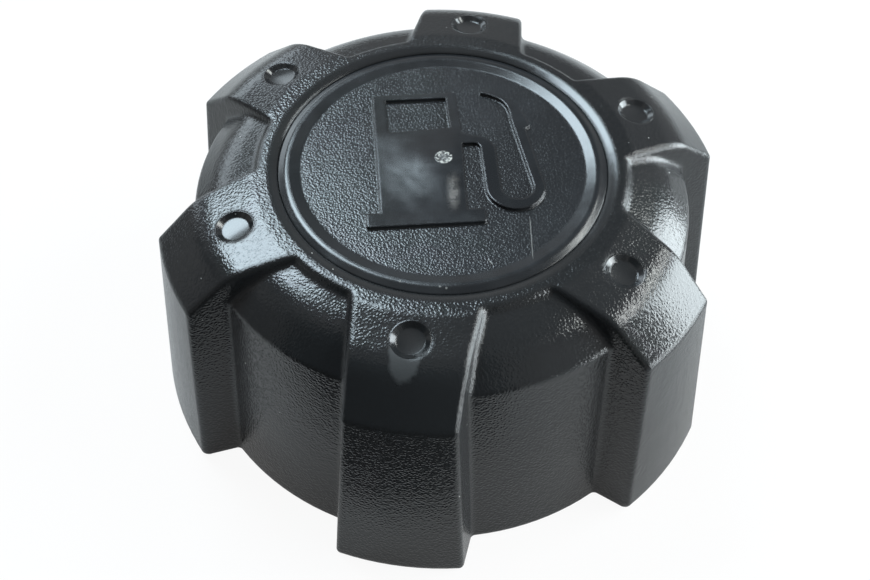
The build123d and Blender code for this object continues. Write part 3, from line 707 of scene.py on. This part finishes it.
def pale_floor():
    """White to the camera apart from a soft shadow."""
    deselect_all()
    bpy.ops.mesh.primitive_plane_add(size=FLOOR_SIZE, location=(0, 0, FLOOR_Z))
    floor = bpy.context.object
    floor.name = "floor"
    shader = Shader("floor_white")
    glow = shader.add("ShaderNodeEmission", {"Color": (1, 1, 1, 1), "Strength": FLOOR_GLOW})
    plain = shader.add("ShaderNodeBsdfDiffuse", {"Color": FLOOR_COLOUR})
    share = shader.math("MULTIPLY", seen_white(shader, FLOOR_IN_GLOSS), FLOOR_GLOW_SHARE)
    mixed = shader.add("ShaderNodeMixShader", {0: share, 1: plain.outputs[0], 2: glow.outputs[0]})
    shader.links.new(mixed.outputs[0], shader.nodes["Material Output"].inputs["Surface"])
    shader.nodes.remove(shader.surface)
    floor.data.materials.append(shader.material)


def open_air(scene):
    """White behind the object; a low light with soft brighter and darker parts everywhere else."""
    shader = Shader("studio_air", bpy.data.worlds)
    cloud = shader.noise(4.0, 1.0, 0.4, shader.coordinates["Generated"])
    room = shader.step(cloud, 0.36, 0.64, 0.3 * AIR_LEVEL, 1.8 * AIR_LEVEL)
    shader.surface.inputs["Color"].default_value = (1, 1, 1, 1)
    shader.feed(shader.surface.inputs["Strength"], shader.mix(seen_white(shader, AIR_IN_GLOSS), room, 1.0))
    scene.world = shader.material


def direction(azimuth, elevation):
    """Unit vector from the cap's axis towards an azimuth and elevation in degrees."""
    flat = math.cos(math.radians(elevation))
    turn = math.radians(azimuth)
    return Vector((flat * math.cos(turn), flat * math.sin(turn), math.sin(math.radians(elevation))))


def panel(name, azimuth, elevation, distance, size, level, colour):
    """Soft panel that faces the cap; level is its brightness, where 1 is white."""
    deselect_all()
    way = direction(azimuth, elevation)
    bpy.ops.object.light_add(type="AREA", location=Vector((0, 0, LAND_Z)) + way * distance)
    light = bpy.context.object
    light.name = name
    light.data.shape = "RECTANGLE"
    light.data.size, light.data.size_y = size
    light.data.energy = level * math.pi * size[0] * size[1]
    light.data.color = colour
    light.rotation_euler = way.to_track_quat("Z", "Y").to_euler()


def dark_card():
    """Dark patchy card close in front that only reflections meet: it keeps the slopes that face it dark."""
    deselect_all()
    way = direction(CARD_AZIMUTH, 0)
    middle = way * CARD_AWAY + Vector((0, 0, CARD_MIDDLE_Z))
    bpy.ops.mesh.primitive_plane_add(
        size=1.0, location=middle, rotation=way.to_track_quat("Z", "Y").to_euler())
    card = bpy.context.object
    card.name = "dark_card"
    card.scale = (*CARD_SIZE, 1)
    shader = Shader("card_black")
    # faint glowing patches on the card: light that the slopes facing it mirror, so that their grain shows
    patches = shader.step(shader.noise(150.0, 2.0), 0.5, 0.6, 0.0, 0.1)
    shader.surface.inputs["Emission Color"].default_value = (1, 1, 1, 1)
    shader.feed(shader.surface.inputs["Emission Strength"], patches)
    card.data.materials.append(shader.finish((0.02, 0.02, 0.02, 1), 0.9))
    card.visible_camera = card.visible_shadow = card.visible_diffuse = False


def camera(scene):
    """Camera in front and above, rolled a little."""
    deselect_all()
    aim = (CAMERA_AIM - CAMERA_AT).to_track_quat("-Z", "Y").to_matrix()
    turn = aim @ Matrix.Rotation(CAMERA_ROLL, 3, "Z")
    bpy.ops.object.camera_add(location=CAMERA_AT, rotation=turn.to_euler())
    eye = bpy.context.object
    eye.name = "eye"
    eye.data.lens = CAMERA_LENS
    eye.data.sensor_width = SENSOR_WIDTH
    eye.data.clip_start = 0.01
    scene.camera = eye


class CAP_PT_panel(bpy.types.Panel):
    """Lists the cap's settings and operators"""

    bl_label = "Filler cap"
    bl_idname = "CAP_PT_panel"
    bl_space_type = "VIEW_3D"
    bl_region_type = "UI"
    bl_category = "Filler cap"

    def draw(self, context):
        for name in CapSettings.__annotations__:
            self.layout.prop(context.scene.cap_settings, name)
        for operator in OPERATORS:
            self.layout.operator(operator.bl_idname)


OPERATORS = (
    CAP_OT_grip_shell, CAP_OT_badge, CAP_OT_closure, CAP_OT_neck_thread,
    CAP_OT_valve, CAP_OT_springs, CAP_OT_studio)
CLASSES = (CapSettings,) + OPERATORS + (CAP_PT_panel,)


def register():
    for cls in CLASSES:
        bpy.utils.register_class(cls)
    bpy.types.Scene.cap_settings = bpy.props.PointerProperty(type=CapSettings)


def unregister():
    del bpy.types.Scene.cap_settings
    for cls in reversed(CLASSES):
        bpy.utils.unregister_class(cls)


def main():
    register()
    for operator in OPERATORS:
        group, name = operator.bl_idname.split(".")
        getattr(getattr(bpy.ops, group), name)()


if __name__ == "__main__":
    main()
